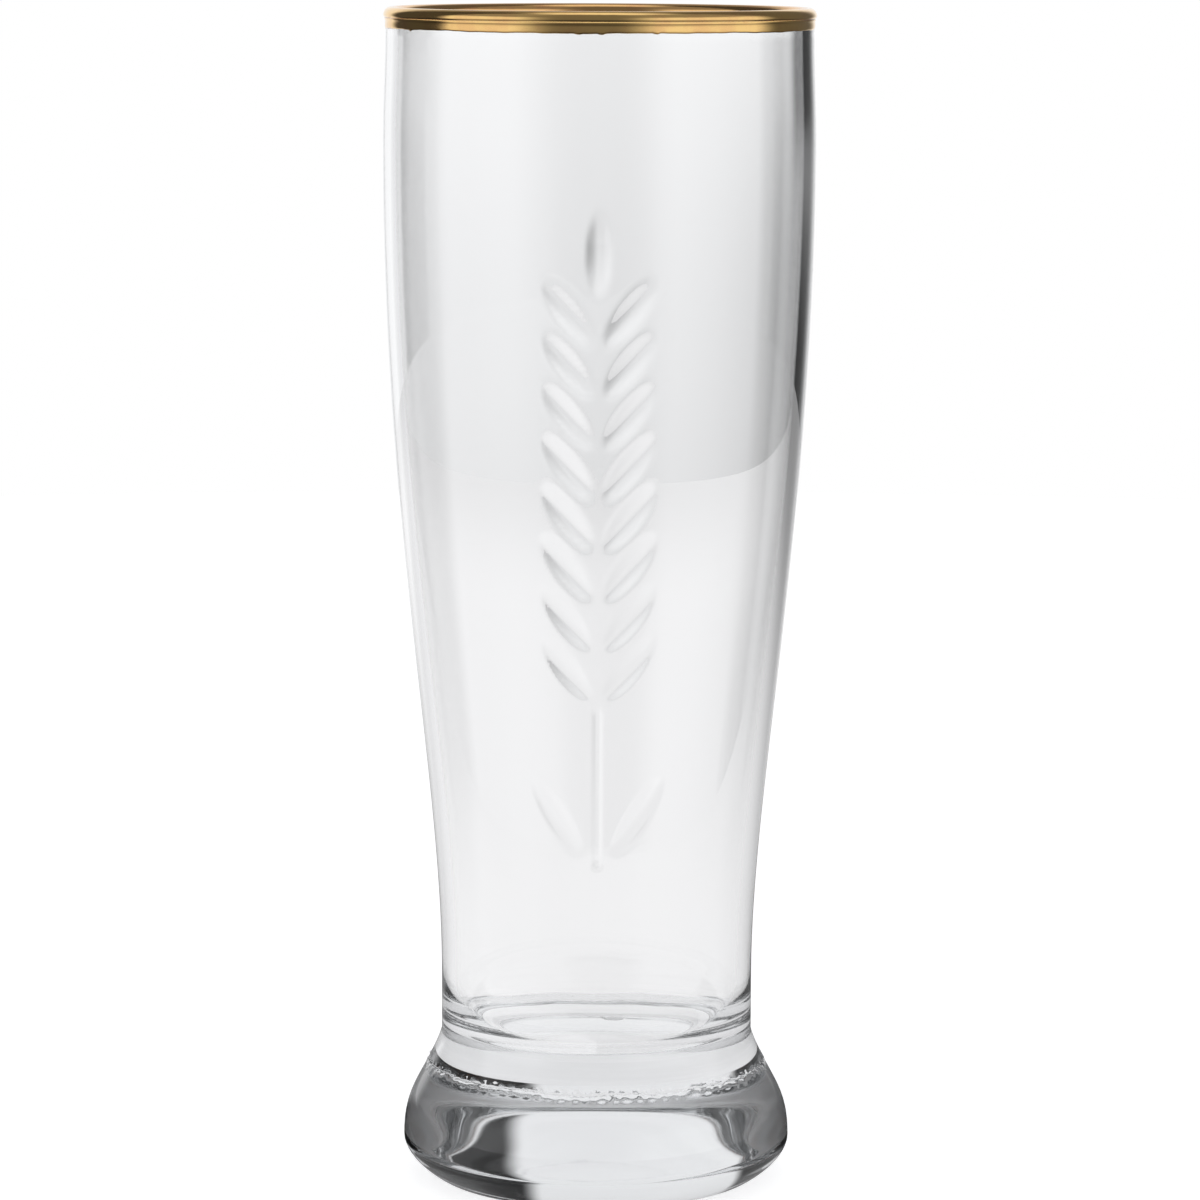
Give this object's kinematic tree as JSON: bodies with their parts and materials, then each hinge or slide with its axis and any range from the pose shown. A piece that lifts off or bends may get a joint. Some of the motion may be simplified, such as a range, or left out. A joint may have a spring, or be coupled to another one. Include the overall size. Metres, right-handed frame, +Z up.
{
  "type": "beer glass",
  "caption": "Tall vase-shaped beer glass with a narrow waist, a heavy fused foot, a raised ear of barley on the front and a gold band round the lip.",
  "frame": {"origin": "centre of the standing ring, in the plane of the table that the glass stands on", "axes": "+Z up along the glass's axis, -Y towards the front with the raised ear of barley, +X to the right seen from the front"},
  "size_m": [0.0639, 0.0642, 0.175],
  "materials": {
    "clear_glass": "clear, fire-polished",
    "fired_gold": "bright fired gold"
  },
  "bodies": {
    "root": {"bowl": "clear_glass", "foot": "clear_glass", "front_relief": "clear_glass", "rim_gold": "fired_gold"}
  },
  "joints": []
}
